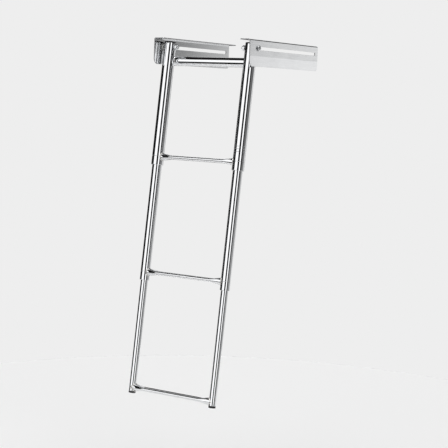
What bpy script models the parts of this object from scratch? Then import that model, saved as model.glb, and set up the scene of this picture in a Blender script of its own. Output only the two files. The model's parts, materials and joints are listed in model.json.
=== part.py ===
"""Telescoping boat boarding ladder that hangs under a swim platform.

Two slotted brackets bolt under the platform.  A pair of pivot bolts slides along their slots and
carries the ladder, which swings about the bolts and collapses in three telescoping sections.

Frame: X to the right along the steps, Y forward along the brackets (the steps hang near -Y),
Z up, origin in the middle of the mounting face, where the brackets' flanges meet the platform.
Stations along the ladder are measured down the stiles from the pivot axis.
"""
import math

import bmesh
import bpy
from mathutils import Matrix, Vector

MM = 0.001

# Fits
GAP = 0.3 * MM                      # between faces that touch or slide
SEGMENTS = 24                       # facets round a stile and what fits it
HARDWARE_SEGMENTS = 20
RUNG_SEGMENTS = 24
CAP_STEPS = 4

# Tubes: outside radii of the three nested stiles, and their wall
OUTER_RADIUS = 31.75 / 2 * MM
MIDDLE_RADIUS = 25.4 / 2 * MM
INNER_RADIUS = 19.05 / 2 * MM
WALL = 1.2 * MM
BUSH_WALL = 1.375 * MM             # radial thickness of the liner in a collar
STILE_HALF_SPACING = 125 * MM       # from the centre plane to a stile's axis

# Stations down the stiles
TUBE_TOP = -10 * MM
CROSSBAR_STATION = 34.3 * MM
CROSSBAR_SETBACK = 22 * MM          # of its axis behind the stiles' axes
RUNG_PITCH = 312 * MM
UPPER_RUNG_STATION = 298 * MM
COLLAR_LEAD = 1.5 * MM              # a collar starts this far above the axis of its rung
COLLAR_LENGTH = 24 * MM
COLLAR_LIP = 1.5 * MM
SLIDER_TOP_LEAD = 9 * MM            # a slider's top is this far above the axis of the rung outside it
SLIDER_HEAD = 14.4 * MM
SLIDER_SPIGOT = 12.5 * MM
SLIDER_WALL = 2.5 * MM              # leaves a drain hole through the slider
SLIDER_EDGE = 0.8 * MM              # chamfer of the head
SLIDER_LIFT = 0.5 * MM              # the slider stops this far above the bush
COLLAR_EDGE = 0.7 * MM              # chamfer of the bottom rim
INNER_TUBE_TAIL = 10 * MM           # the last tube ends this far below its rung
REST_TILT = math.radians(8.3)       # the foot hangs this far out from plumb

# Caps that close the tubes' ends
CAP_HEIGHT = 3.5 * MM
FOOT_HEIGHT = 5.7 * MM
CAP_SPIGOT = 4.8 * MM
FOOT_SPIGOT = 12 * MM

# Rungs: a round tube pressed flat in the middle
RUNG_RADIUS = 19.05 / 2 * MM
RUNG_THICKNESS = 10 * MM
RUNG_TAPER = 27 * MM
TAPER_STEPS = 5

# Crossbar
CROSSBAR_RADIUS = 25.4 / 2 * MM

# Brackets
BRACKET_LENGTH = 398 * MM
BRACKET_HEIGHT = 70 * MM
FLANGE_WIDTH = 31 * MM
SHEET = 2.5 * MM
BEND_INSIDE_RADIUS = 2.5 * MM
FRONT_CORNER_RADIUS = 16 * MM
BACK_CORNER_RADIUS = 8 * MM
TOP_CORNER_RADIUS = 6 * MM
FLANGE_CORNER_RADIUS = 5 * MM
TRIM = 1 * MM                       # the angle is this much oversize before its outline is cut
PIVOT_DROP = 23 * MM                # from the mounting face to the pivot axis
PIVOT_SETBACK = 45 * MM             # from the bracket's front edge to the pivot axis
SLOT_HEIGHT = 9 * MM
SLOT_TRAVEL = 332 * MM
FIXING_SLOT = (7 * MM, 14 * MM)     # width and length of the slots for the mounting screws
FIXING_PLACES = (-126 * MM, -42 * MM, 42 * MM, 126 * MM)

# Pivot hardware, M8
BOLT_RADIUS = 4 * MM
BOLT_HEAD_RADIUS = 7 * MM
BOLT_HEAD_HEIGHT = 4.3 * MM
BOLT_TIP_EDGE = 0.8 * MM            # chamfer of the shank's end
BOLT_LENGTH = 50 * MM               # under the head
SOCKET_RADIUS = 2.9 * MM
SOCKET_DEPTH = 2.4 * MM
BORE_RADIUS = 4.4 * MM
SPACER = 2.9 * MM
SPACER_RADIUS = 10 * MM
WASHER = 1.4 * MM
WASHER_RADIUS = 8 * MM
NUT_RADIUS = 7.5 * MM               # across corners, 13 mm across flats
NUT_HEIGHT = 8 * MM
NUT_HEXAGON = 5.2 * MM              # height of its hexagon, the rest being a round collar
NUT_COLLAR_RADIUS = 5.8 * MM

SIDES = (("left", -1), ("right", 1))

PIVOT = Vector((0, PIVOT_SETBACK - BRACKET_LENGTH / 2, -PIVOT_DROP))
WEB_INNER_X = STILE_HALF_SPACING + OUTER_RADIUS + SPACER + 2 * GAP
WEB_OUTER_X = WEB_INNER_X + SHEET
MIDDLE_RUNG_STATION = UPPER_RUNG_STATION + RUNG_PITCH
LOWER_RUNG_STATION = MIDDLE_RUNG_STATION + RUNG_PITCH
TUBE_BOTTOM = LOWER_RUNG_STATION + INNER_TUBE_TAIL

MATERIALS = {
    "stainless": ((0.72, 0.73, 0.74, 1), 0.12, 1.0),
    "sheet_steel": ((0.68, 0.69, 0.70, 1), 0.22, 1.0),
    "bolt_steel": ((0.66, 0.67, 0.68, 1), 0.2, 1.0),
    "white_nylon": ((0.82, 0.82, 0.80, 1), 0.45, 0.0),
    "black_nylon": ((0.02, 0.02, 0.022, 1), 0.4, 0.0),
}


# ---------------------------------------------------------------- scene helpers

def clear_scene():
    for item in list(bpy.data.objects):
        bpy.data.objects.remove(item, do_unlink=True)


def make_collection(name):
    collection = bpy.data.collections.new(name)
    bpy.context.scene.collection.children.link(collection)
    return collection


def node_material(node, kind):
    """A material of the node's own, in one of the ladder's five finishes."""
    colour, roughness, metallic = MATERIALS[kind]
    material = bpy.data.materials.new(node + "_" + kind)
    material.use_nodes = True
    shader = material.node_tree.nodes["Principled BSDF"]
    shader.inputs["Base Color"].default_value = colour
    shader.inputs["Roughness"].default_value = roughness
    shader.inputs["Metallic"].default_value = metallic
    return material


def add_empty(name, parent=None, location=(0, 0, 0), tilt=0.0):
    empty = bpy.data.objects.new(name, None)
    empty.empty_display_size = 0.02
    PARTS.objects.link(empty)
    empty.parent = parent
    empty.location = location
    empty.rotation_euler = (tilt, 0, 0)
    return empty


def add_part(name, mesh, kind, parent, matrix=Matrix.Identity(4)):
    part = bpy.data.objects.new(name, mesh)
    PARTS.objects.link(part)
    part.parent = parent
    part.matrix_local = matrix
    part.data.materials.append(node_material(name, kind))
    return part


def add_cutter(name, mesh, parent, matrix=Matrix.Identity(4)):
    cutter = bpy.data.objects.new(name, mesh)
    CUTTERS.objects.link(cutter)
    cutter.parent = parent
    cutter.matrix_local = matrix
    cutter.hide_render = True
    cutter.display_type = "WIRE"
    return cutter


def apply_boolean(part, cutter, operation="DIFFERENCE"):
    modifier = part.modifiers.new(cutter.name, "BOOLEAN")
    modifier.operation = operation
    modifier.solver = "EXACT"
    modifier.object = cutter


def smooth(mesh, angle=35):
    mesh.shade_smooth()
    mesh.set_sharp_from_angle(angle=math.radians(angle))


# ---------------------------------------------------------------- shape helpers

def arc(centre, radius, start, end, steps):
    """Points of an arc in a plane, both ends included, angles in degrees."""
    points = []
    for step in range(steps + 1):
        angle = math.radians(start + (end - start) * step / steps)
        points.append((centre[0] + radius * math.cos(angle), centre[1] + radius * math.sin(angle)))
    return points


def stadium(length, width, steps=8):
    """Outline of a slot with round ends, its long axis on X, centred."""
    reach = (length - width) / 2
    return (arc((reach, 0), width / 2, -90, 90, steps)
            + arc((-reach, 0), width / 2, 90, 270, steps))


def prism(name, outline, depth):
    """Mesh of a flat outline in XY, extruded to both sides of its plane."""
    curve = bpy.data.curves.new(name, "CURVE")
    curve.dimensions = "2D"
    curve.fill_mode = "BOTH"
    curve.extrude = depth / 2
    spline = curve.splines.new("POLY")
    spline.points.add(len(outline) - 1)
    for point, (x, y) in zip(spline.points, outline):
        point.co = (x, y, 0, 1)
    spline.use_cyclic_u = True
    holder = bpy.data.objects.new(name, curve)
    bpy.context.scene.collection.objects.link(holder)
    graph = bpy.context.evaluated_depsgraph_get()
    mesh = bpy.data.meshes.new_from_object(holder.evaluated_get(graph))
    bpy.data.objects.remove(holder, do_unlink=True)
    weld(mesh)
    return mesh


def weld(mesh):
    cage = bmesh.new()
    cage.from_mesh(mesh)
    bmesh.ops.remove_doubles(cage, verts=cage.verts, dist=0.001 * MM)
    bmesh.ops.recalc_face_normals(cage, faces=cage.faces)
    cage.to_mesh(mesh)
    cage.free()


def cylinder(name, radius, length, segments=SEGMENTS):
    """Solid cylinder on Z, centred."""
    mesh = bpy.data.meshes.new(name)
    cage = bmesh.new()
    bmesh.ops.create_cone(cage, cap_ends=True, segments=segments,
                          radius1=radius, radius2=radius, depth=length)
    cage.to_mesh(mesh)
    cage.free()
    return mesh


def turned(name, profile, kind, parent, matrix=Matrix.Identity(4), closed=False,
           segments=SEGMENTS):
    """Part turned about Z from (radius, height) points that run down its outer side."""
    mesh = bpy.data.meshes.new(name)
    edges = [(i, i + 1) for i in range(len(profile) - 1)]
    if closed:
        edges.append((len(profile) - 1, 0))
    mesh.from_pydata([(radius, 0, height) for radius, height in profile], edges, [])
    part = add_part(name, mesh, kind, parent, matrix)
    screw = part.modifiers.new("turn", "SCREW")
    screw.steps = segments
    screw.render_steps = segments
    screw.use_merge_vertices = True
    screw.merge_threshold = 0.001 * MM
    screw.use_smooth_shade = True
    return part


def ring(name, outer, inner, top, bottom, kind, parent, matrix=Matrix.Identity(4),
         segments=SEGMENTS):
    profile = [(outer, top), (outer, bottom), (inner, bottom), (inner, top)]
    return turned(name, profile, kind, parent, matrix, closed=True, segments=segments)


def on_stile(side):
    """Frame of a stile: Z runs up its axis, with the pivot's station at zero."""
    return Matrix.Translation((side * STILE_HALF_SPACING, 0, 0))


def outward(side, distance):
    """Frame on the pivot axis whose Z points away from the centre plane."""
    turn = Matrix.Rotation(side * math.pi / 2, 4, "Y")
    return Matrix.Translation((side * distance, 0, 0)) @ turn


# ---------------------------------------------------------------- brackets

def angle_section(side):
    """Section of the bracket in XZ: a web that hangs down and a flange that turns inward."""
    outside = BEND_INSIDE_RADIUS + SHEET
    bend = (outside, -outside)
    reach = FLANGE_WIDTH + TRIM
    drop = BRACKET_HEIGHT + TRIM
    points = [(reach, 0)]
    points += arc(bend, outside, 90, 180, 6)
    points += [(0, -drop), (SHEET, -drop)]
    points += arc(bend, BEND_INSIDE_RADIUS, 180, 90, 6)
    points.append((reach, -SHEET))
    return [(side * (WEB_OUTER_X - inset), height) for inset, height in points]


def web_outline():
    """Side view of the bracket in YZ, with its rounded corners."""
    end = BRACKET_LENGTH / 2
    front, back, top = FRONT_CORNER_RADIUS, BACK_CORNER_RADIUS, TOP_CORNER_RADIUS
    points = [(-end, TRIM)]
    points += arc((front - end, front - BRACKET_HEIGHT), front, 180, 270, 8)
    points += arc((end - back, back - BRACKET_HEIGHT), back, 270, 360, 6)
    points += arc((end - top, -top), top, 0, 90, 6)
    points.append((end - top, TRIM))
    return points


def flange_outline(side):
    """Top view of the bracket in XY, with the flange's free corners rounded."""
    end = BRACKET_LENGTH / 2
    radius = FLANGE_CORNER_RADIUS
    free = WEB_OUTER_X - FLANGE_WIDTH
    points = [(WEB_OUTER_X + TRIM, end + TRIM), (free + radius, end + TRIM)]
    points += arc((free + radius, end - radius), radius, 90, 180, 6)
    points += arc((free + radius, radius - end), radius, 180, 270, 6)
    points += [(free + radius, -end - TRIM), (WEB_OUTER_X + TRIM, -end - TRIM)]
    return [(side * x, y) for x, y in points]


def make_bracket(label, side, root):
    name = label + "_bracket"
    stand = Matrix.Rotation(math.pi / 2, 4, "X")
    blank = prism(name, angle_section(side), BRACKET_LENGTH + 2 * TRIM)
    bracket = add_part(name, blank, "sheet_steel", root, stand)

    # local X runs along world Y, local Y along world Z
    sideways = Matrix(((0, 0, 1, 0), (1, 0, 0, 0), (0, 1, 0, 0), (0, 0, 0, 1)))
    middle_x = side * WEB_INNER_X
    web_place = Matrix.Translation((middle_x, 0, 0)) @ sideways
    side_view = prism("web_outline", web_outline(), 3 * FLANGE_WIDTH)
    apply_boolean(bracket, add_cutter(name + "_web_outline", side_view, root, web_place), "INTERSECT")

    top_view = prism("flange_outline", flange_outline(side), 3 * BRACKET_HEIGHT)
    apply_boolean(bracket, add_cutter(name + "_flange_outline", top_view, root), "INTERSECT")

    slot = prism("slot", stadium(SLOT_TRAVEL + SLOT_HEIGHT, SLOT_HEIGHT), 4 * SHEET)
    slot_middle = Vector((middle_x, PIVOT.y + SLOT_TRAVEL / 2, PIVOT.z))
    slot_place = Matrix.Translation(slot_middle) @ sideways
    apply_boolean(bracket, add_cutter(name + "_slot", slot, root, slot_place))

    fixing_x = side * (WEB_OUTER_X - (FLANGE_WIDTH + BEND_INSIDE_RADIUS + SHEET) / 2)
    width, length = FIXING_SLOT
    for number, place in enumerate(FIXING_PLACES, 1):
        hole = prism("fixing_slot", stadium(length, width, 6), 4 * SHEET)
        along = Matrix.Translation((fixing_x, place, 0)) @ Matrix.Rotation(math.pi / 2, 4, "Z")
        apply_boolean(bracket, add_cutter("%s_fixing_%d" % (name, number), hole, root, along))


# ---------------------------------------------------------------- pivot hardware

def make_bolt(label, side, carriage, seat):
    """Button-head bolt; its frame's Z points out of the head."""
    crown = arc((0, 0), 1, 90, 0, CAP_STEPS)
    profile = [(BOLT_HEAD_RADIUS * x, BOLT_HEAD_HEIGHT * (0.25 + 0.75 * y)) for x, y in crown]
    profile += [(BOLT_HEAD_RADIUS, 0), (BOLT_RADIUS, 0), (BOLT_RADIUS, BOLT_TIP_EDGE - BOLT_LENGTH),
                (BOLT_RADIUS - BOLT_TIP_EDGE, -BOLT_LENGTH), (0, -BOLT_LENGTH)]
    frame = outward(side, seat)
    bolt = turned(label + "_pivot_bolt", profile, "bolt_steel", carriage, frame,
                  segments=HARDWARE_SEGMENTS)
    socket = cylinder("socket", SOCKET_RADIUS, 2 * SOCKET_DEPTH, 6)
    lift = Matrix.Translation((0, 0, BOLT_HEAD_HEIGHT))
    apply_boolean(bolt, add_cutter(label + "_socket", socket, carriage, frame @ lift))


def make_nut(label, side, carriage, seat):
    """Lock nut; its frame's Z points away from its seat, towards the centre plane."""
    frame = outward(-side, -seat)
    hexagon = cylinder("hexagon", NUT_RADIUS, NUT_HEXAGON, 6)
    lift = Matrix.Translation((0, 0, NUT_HEXAGON / 2))
    nut = add_part(label + "_lock_nut", hexagon, "bolt_steel", carriage, frame @ lift)
    start = NUT_HEXAGON / 2
    collar = cylinder("nut_collar", NUT_COLLAR_RADIUS, NUT_HEIGHT - start, HARDWARE_SEGMENTS)
    top = Matrix.Translation((0, 0, (start + NUT_HEIGHT) / 2))
    apply_boolean(nut, add_cutter(label + "_nut_collar", collar, carriage, frame @ top), "UNION")
    bore = cylinder("nut_bore", BOLT_RADIUS + GAP, 4 * NUT_HEIGHT, HARDWARE_SEGMENTS)
    apply_boolean(nut, add_cutter(label + "_nut_bore", bore, carriage, frame))


def make_pivot_hardware(label, side, carriage):
    """Spacer, washers, bolt and nut of one pivot, from the web inward and outward."""
    spacer_seat = STILE_HALF_SPACING + OUTER_RADIUS + GAP
    washer_seat = WEB_OUTER_X + GAP
    inner_seat = STILE_HALF_SPACING - OUTER_RADIUS - GAP - WASHER
    for name, radius, thickness, kind, seat in (
            ("_pivot_spacer", SPACER_RADIUS, SPACER, "white_nylon", spacer_seat),
            ("_outer_washer", WASHER_RADIUS, WASHER, "bolt_steel", washer_seat),
            ("_inner_washer", WASHER_RADIUS, WASHER, "bolt_steel", inner_seat)):
        ring(label + name, radius, BORE_RADIUS, thickness, 0, kind, carriage,
             outward(side, seat), HARDWARE_SEGMENTS)
    make_bolt(label, side, carriage, washer_seat + WASHER + GAP)
    make_nut(label, side, carriage, inner_seat - GAP)


# ---------------------------------------------------------------- telescoping stiles

def end_cap(name, tube_radius, height, spigot, direction, station, parent, side):
    """Domed plug in the end of a tube; direction is +1 for a top end and -1 for a foot."""
    bore = tube_radius - WALL - GAP
    crown = arc((0, 0), 1, 90, 0, CAP_STEPS)
    profile = [(tube_radius * x, height * (0.2 + 0.8 * y)) for x, y in crown]
    profile += [(tube_radius, 0), (bore, 0), (bore, -spigot), (0, -spigot)]
    flip = Matrix.Rotation(0 if direction > 0 else math.pi, 4, "X")
    place = Matrix.Translation((0, 0, -station + direction * GAP))
    turned(name, profile, "black_nylon", parent, on_stile(side) @ place @ flip)


def make_collar(name, radius, station, parent, side):
    """Sleeve under a tube, as wide as the tube, whose lip holds the guide bush."""
    bore = radius - WALL
    lip = radius - WALL - BUSH_WALL - GAP
    top = -(station + GAP)
    bottom = -(station + COLLAR_LENGTH)
    profile = [(radius, top), (radius, bottom + COLLAR_EDGE), (radius - COLLAR_EDGE, bottom),
               (lip, bottom), (lip, bottom + COLLAR_LIP), (bore, bottom + COLLAR_LIP), (bore, top)]
    turned(name, profile, "stainless", parent, on_stile(side), closed=True)


def make_guide_bush(name, radius, rung_station, parent, side):
    """Nylon liner between a collar and the tube that slides in it."""
    outside = radius - WALL - GAP
    inside = radius - WALL - BUSH_WALL - GAP
    top = -(rung_station - SLIDER_TOP_LEAD + SLIDER_HEAD + SLIDER_LIFT)
    bottom = -(rung_station - COLLAR_LEAD + COLLAR_LENGTH - COLLAR_LIP - GAP)
    ring(name, outside, inside, top, bottom, "white_nylon", parent, on_stile(side))


def make_slider(name, tube_radius, outer_radius, rung_station, parent, side):
    """Nylon plug on top of a sliding tube, which guides it in the next larger tube."""
    head = outer_radius - WALL - GAP
    spigot = tube_radius - WALL - GAP
    drain = spigot - SLIDER_WALL
    top = -(rung_station - SLIDER_TOP_LEAD)
    shoulder = top - SLIDER_HEAD
    bottom = shoulder - SLIDER_SPIGOT
    profile = [(head - SLIDER_EDGE, top), (head, top - SLIDER_EDGE), (head, shoulder),
               (spigot, shoulder), (spigot, bottom), (drain, bottom), (drain, top)]
    turned(name, profile, "white_nylon", parent, on_stile(side), closed=True)


def stile_tube(name, radius, top_station, bottom_station, parent, side):
    return ring(name, radius, radius - WALL, -top_station, -bottom_station, "stainless",
                parent, on_stile(side))


def sliding_tube_top(rung_station):
    """Station of the top end of the tube that slides inside the tube of this rung."""
    return rung_station - SLIDER_TOP_LEAD + SLIDER_HEAD + GAP


# ---------------------------------------------------------------- rungs and crossbar

def oval_point(fraction, half_thickness, flat):
    """Point a fraction of the way round a flat oval, given half its straight run."""
    quarter = half_thickness * math.pi / 2
    girth = 4 * quarter + 4 * flat
    travelled = fraction * girth
    if travelled < quarter:
        angle = travelled / half_thickness
        return flat + half_thickness * math.cos(angle), half_thickness * math.sin(angle)
    if travelled < quarter + 2 * flat:
        return flat - (travelled - quarter), half_thickness
    if travelled < 3 * quarter + 2 * flat:
        angle = (travelled - 2 * flat) / half_thickness
        return -flat + half_thickness * math.cos(angle), half_thickness * math.sin(angle)
    if travelled < 3 * quarter + 4 * flat:
        return -flat + (travelled - 3 * quarter - 2 * flat), -half_thickness
    angle = (travelled - 4 * flat) / half_thickness
    return flat + half_thickness * math.cos(angle), half_thickness * math.sin(angle)


def rung_section(flatness, inset):
    """Closed section: a circle pressed by flatness (0 to 1) into a flat oval of equal girth."""
    radius = RUNG_RADIUS - inset
    half_thickness = RUNG_THICKNESS / 2 - inset
    flat = math.pi * (RUNG_RADIUS - RUNG_THICKNESS / 2) / 2
    points = []
    for step in range(RUNG_SEGMENTS):
        fraction = step / RUNG_SEGMENTS
        angle = 2 * math.pi * fraction
        oval = oval_point(fraction, half_thickness, flat)
        round_point = (radius * math.cos(angle), radius * math.sin(angle))
        points.append([(1 - flatness) * r + flatness * o for r, o in zip(round_point, oval)])
    return points


def rung_stations(stile_radius):
    """Pairs of distance from the centre plane and flatness, from one stile's axis to the other."""
    weld_face = STILE_HALF_SPACING - stile_radius
    half = [(STILE_HALF_SPACING, 0.0)]
    for step in range(TAPER_STEPS + 1):
        share = step / TAPER_STEPS
        eased = 0.5 * share + 0.5 * share * share * (3 - 2 * share)
        half.append((weld_face - share * RUNG_TAPER, eased))
    return [(-x, flatness) for x, flatness in half] + [(x, flatness) for x, flatness in half[::-1]]


def rung_mesh(name, stile_radius):
    """Hollow loft along X: an outer and an inner skin joined at both ends."""
    cage = bmesh.new()
    skins = []
    for inset in (0, WALL):
        skin = []
        for x, flatness in rung_stations(stile_radius):
            section = rung_section(flatness, inset)
            skin.append([cage.verts.new((x, y, z)) for y, z in section])
        skins.append(skin)
    outer, inner = skins
    for skin in skins:
        for first, second in zip(skin, skin[1:]):
            bridge(cage, first, second)
    for end in (0, -1):
        bridge(cage, outer[end], inner[end])
    bmesh.ops.recalc_face_normals(cage, faces=cage.faces)
    mesh = bpy.data.meshes.new(name)
    cage.to_mesh(mesh)
    cage.free()
    smooth(mesh)
    return mesh


def bridge(cage, first, second):
    for i in range(len(first)):
        j = (i + 1) % len(first)
        cage.faces.new((first[i], first[j], second[j], second[i]))


def cope_ends(part, stile_radius, station, parent):
    """Cut both ends to the shape of the stiles that they are welded to."""
    for label, side in SIDES:
        mesh = cylinder("stile_space", stile_radius + GAP, 4 * stile_radius)
        place = on_stile(side) @ Matrix.Translation((0, 0, -station))
        apply_boolean(part, add_cutter("%s_%s_cope" % (part.name, label), mesh, parent, place))


def make_rung(name, stile_radius, station, parent):
    place = Matrix.Translation((0, 0, -station))
    rung = add_part(name, rung_mesh(name, stile_radius), "stainless", parent, place)
    cope_ends(rung, stile_radius, station, parent)


def make_crossbar(parent):
    """Tube welded across the backs of the stiles, notched to their shape and open at its ends."""
    half = STILE_HALF_SPACING
    lay = (Matrix.Translation((0, CROSSBAR_SETBACK, -CROSSBAR_STATION))
           @ Matrix.Rotation(math.pi / 2, 4, "Y"))
    crossbar = ring("crossbar", CROSSBAR_RADIUS, CROSSBAR_RADIUS - WALL, half, -half, "stainless",
                    parent, lay)
    cope_ends(crossbar, OUTER_RADIUS, CROSSBAR_STATION, parent)


# ---------------------------------------------------------------- sections of the ladder

def make_upper_section(parent):
    make_crossbar(parent)
    make_rung("upper_rung", OUTER_RADIUS, UPPER_RUNG_STATION, parent)
    collar_station = UPPER_RUNG_STATION - COLLAR_LEAD
    for label, side in SIDES:
        tube = stile_tube(label + "_outer_tube", OUTER_RADIUS, TUBE_TOP, collar_station, parent, side)
        bore = cylinder("pivot_bore", BORE_RADIUS, 4 * OUTER_RADIUS, HARDWARE_SEGMENTS)
        across = on_stile(side) @ Matrix.Rotation(math.pi / 2, 4, "Y")
        apply_boolean(tube, add_cutter(label + "_pivot_bore", bore, parent, across))
        end_cap(label + "_top_cap", OUTER_RADIUS, CAP_HEIGHT, CAP_SPIGOT, 1, TUBE_TOP, parent, side)
        make_collar(label + "_outer_collar", OUTER_RADIUS, collar_station, parent, side)
        make_guide_bush(label + "_outer_bush", OUTER_RADIUS, UPPER_RUNG_STATION, parent, side)


def make_middle_section(parent):
    make_rung("middle_rung", MIDDLE_RADIUS, MIDDLE_RUNG_STATION, parent)
    collar_station = MIDDLE_RUNG_STATION - COLLAR_LEAD
    for label, side in SIDES:
        stile_tube(label + "_middle_tube", MIDDLE_RADIUS, sliding_tube_top(UPPER_RUNG_STATION),
                   collar_station, parent, side)
        make_slider(label + "_middle_slider", MIDDLE_RADIUS, OUTER_RADIUS, UPPER_RUNG_STATION,
                    parent, side)
        make_collar(label + "_middle_collar", MIDDLE_RADIUS, collar_station, parent, side)
        make_guide_bush(label + "_middle_bush", MIDDLE_RADIUS, MIDDLE_RUNG_STATION, parent, side)


def make_lower_section(parent):
    make_rung("lower_rung", INNER_RADIUS, LOWER_RUNG_STATION, parent)
    for label, side in SIDES:
        stile_tube(label + "_inner_tube", INNER_RADIUS, sliding_tube_top(MIDDLE_RUNG_STATION),
                   TUBE_BOTTOM, parent, side)
        make_slider(label + "_inner_slider", INNER_RADIUS, MIDDLE_RADIUS, MIDDLE_RUNG_STATION,
                    parent, side)
        end_cap(label + "_foot_cap", INNER_RADIUS, FOOT_HEIGHT, FOOT_SPIGOT, -1, TUBE_BOTTOM,
                parent, side)


clear_scene()
PARTS = make_collection("boat_boarding_ladder")
CUTTERS = make_collection("cutters")

brackets_frame = add_empty("brackets_frame")
carriage_frame = add_empty("carriage_frame", brackets_frame, PIVOT)
upper_frame = add_empty("upper_frame", carriage_frame, tilt=-REST_TILT)
middle_frame = add_empty("middle_frame", upper_frame)
lower_frame = add_empty("lower_frame", middle_frame)

for bracket_label, bracket_side in SIDES:
    make_bracket(bracket_label, bracket_side, brackets_frame)
    make_pivot_hardware(bracket_label, bracket_side, carriage_frame)
make_upper_section(upper_frame)
make_middle_section(middle_frame)
make_lower_section(lower_frame)
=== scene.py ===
"""Looks of a telescoping boat boarding ladder that hangs under a swim platform.

Finished pieces stand for the frame's plain nodes, at the same sizes: rims and edges are rounded,
the brackets are folded from a flat blank, the rungs are pressed from round tube, and the welds
are added.  Metres throughout.  Places come from the frame's boxes, joints and mounts.  Heights
along a stile are measured on its own axis, with the pivot at zero.
"""
import json
import math

import bmesh
import bpy
from mathutils import Matrix, Vector, noise


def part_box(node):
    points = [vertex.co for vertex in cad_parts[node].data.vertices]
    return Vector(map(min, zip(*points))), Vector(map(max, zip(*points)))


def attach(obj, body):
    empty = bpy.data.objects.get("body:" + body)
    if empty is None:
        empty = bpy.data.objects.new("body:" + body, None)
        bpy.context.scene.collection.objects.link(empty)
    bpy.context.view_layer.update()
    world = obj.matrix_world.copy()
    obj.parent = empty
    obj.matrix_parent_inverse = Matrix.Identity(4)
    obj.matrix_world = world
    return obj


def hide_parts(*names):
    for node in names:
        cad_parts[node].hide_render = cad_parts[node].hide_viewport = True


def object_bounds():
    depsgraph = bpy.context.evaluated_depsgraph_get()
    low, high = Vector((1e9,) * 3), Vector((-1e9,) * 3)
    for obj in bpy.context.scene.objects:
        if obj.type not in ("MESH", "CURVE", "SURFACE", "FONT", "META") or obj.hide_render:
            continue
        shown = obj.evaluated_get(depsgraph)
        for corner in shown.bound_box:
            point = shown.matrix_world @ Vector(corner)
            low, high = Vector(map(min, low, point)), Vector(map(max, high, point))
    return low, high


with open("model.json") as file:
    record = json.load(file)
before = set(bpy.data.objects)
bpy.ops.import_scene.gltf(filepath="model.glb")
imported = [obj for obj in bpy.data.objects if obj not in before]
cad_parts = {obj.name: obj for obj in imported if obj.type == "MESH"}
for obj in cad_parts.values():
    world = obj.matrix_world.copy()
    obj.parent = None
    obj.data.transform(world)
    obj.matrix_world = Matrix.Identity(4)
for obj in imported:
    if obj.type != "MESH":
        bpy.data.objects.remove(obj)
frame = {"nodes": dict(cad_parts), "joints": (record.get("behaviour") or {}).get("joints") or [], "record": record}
cad_low, cad_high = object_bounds()

MM = 0.001
SIDES = (("left", -1), ("right", 1))
RECORD = frame["record"]
JOINTS = {joint["name"]: joint for joint in frame["joints"]}
BODY_OF = {node: body for body, nodes in RECORD["behaviour"]["bodies"].items() for node in nodes}

PIVOT = Vector(JOINTS["ladder_swing"]["pos_m"])
UP = Vector(JOINTS["middle_slide"]["axis"]).normalized()
TILT = math.atan2(UP.y, UP.z)

# Fits and roundings
GAP = 0.3 * MM
WALL = 1.2 * MM
RIM = 0.45 * MM                     # rounding of a tube's rims
GROOVE_RIM = 0.7 * MM               # rounding that makes the groove between a tube and its collar
TURNED_EDGE = 0.3 * MM              # rounding of washers, spacers and bolt heads
SEGMENTS = 96                       # facets round a piece
BORE_SEGMENTS = 32                  # and round the bores for the bolts
CORNER_STEPS = 4
ROUND_FROM = math.radians(30)       # a corner that turns less than this stays as it is
ROUNDING_REACH = 0.4                # largest share of a side that a rounding takes
SUPPORT_REACH = 0.45                # largest share of a side up to a rounding's support point
SMOOTH = math.radians(40)           # faces that meet at less than this are shaded as one
SMOOTH_AFTER_CUT = math.radians(35)
SAME_POINT = 0.001 * MM             # points nearer than this are one
SAME_RADIUS = 0.03 * MM
OVERCUT = 1 * MM                    # of a cutting shape beyond the face that it enters

# Brackets
SHEET = 2.5 * MM
BEND_RADIUS = 3.75 * MM             # of the sheet's middle
SHEET_EDGE = 0.35 * MM
FRONT_CORNER = 16 * MM
BACK_CORNER = 8 * MM
TOP_CORNER = 6 * MM
TOP_CORNER_DROP = 1 * MM            # of that corner's centre below the bend
FLANGE_CORNER = 5 * MM
SLOT_HEIGHT = 9 * MM
FIXING_SLOT = (7 * MM, 14 * MM)
FIXING_PLACES = (-126 * MM, -42 * MM, 42 * MM, 126 * MM)
BEND_STEPS = 14
SCUFF_AND_REFLECTION_REACH = 21 * MM               # of the band each side of the slot's middle that has scuffs and a painted dark reflection

# Stiles
GROOVE_DEPTH = 0.25 * MM
GROOVE_HALF_WIDTH = 0.9 * MM
RING_HEIGHTS = (-258 * MM, -265 * MM, -272 * MM)

# Rungs and crossbar
RUNG_RADIUS = 9.525 * MM
RUNG_HALF_THICKNESS = 5 * MM
RUNG_TAPER = 27 * MM
RUNG_COLLAR = 1 * MM                # stays round between a stile and the taper
RUNG_SUPPORT = 4 * MM               # from a taper to the next ring, which keeps the middle flat
LEAST_FLAT = 0.05 * MM              # half the flat of a section that is still round
TAPER_STEPS = 14
ARC_STEPS = 20
FLAT_STEPS = 4
CROSSBAR_RADIUS = 12.7 * MM
NOTCH_ZONE = 20 * MM                # of the crossbar's ends, that the stiles are notched into

# Welds
BEAD_RADIUS = 1.5 * MM
BEAD_RIPPLE = 1.7 * MM              # pitch of the ripples
BEAD_RIPPLE_HEIGHT = 0.12           # as a share of the bead's radius, like the next two
BEAD_WANDER = 0.1
BEAD_LIFT = 0.25                    # of the bead's middle off the corner
BEAD_WANDER_SCALE = 180
BEAD_SIDES = 12
RINGS_PER_RIPPLE = 5
BEAD_HEADROOM = 0.7 * MM            # a rung's bead is dressed to this above it, for the collar
BEAD_RUNOUT = 8                     # how fast an open bead thickens from its ends

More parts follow.
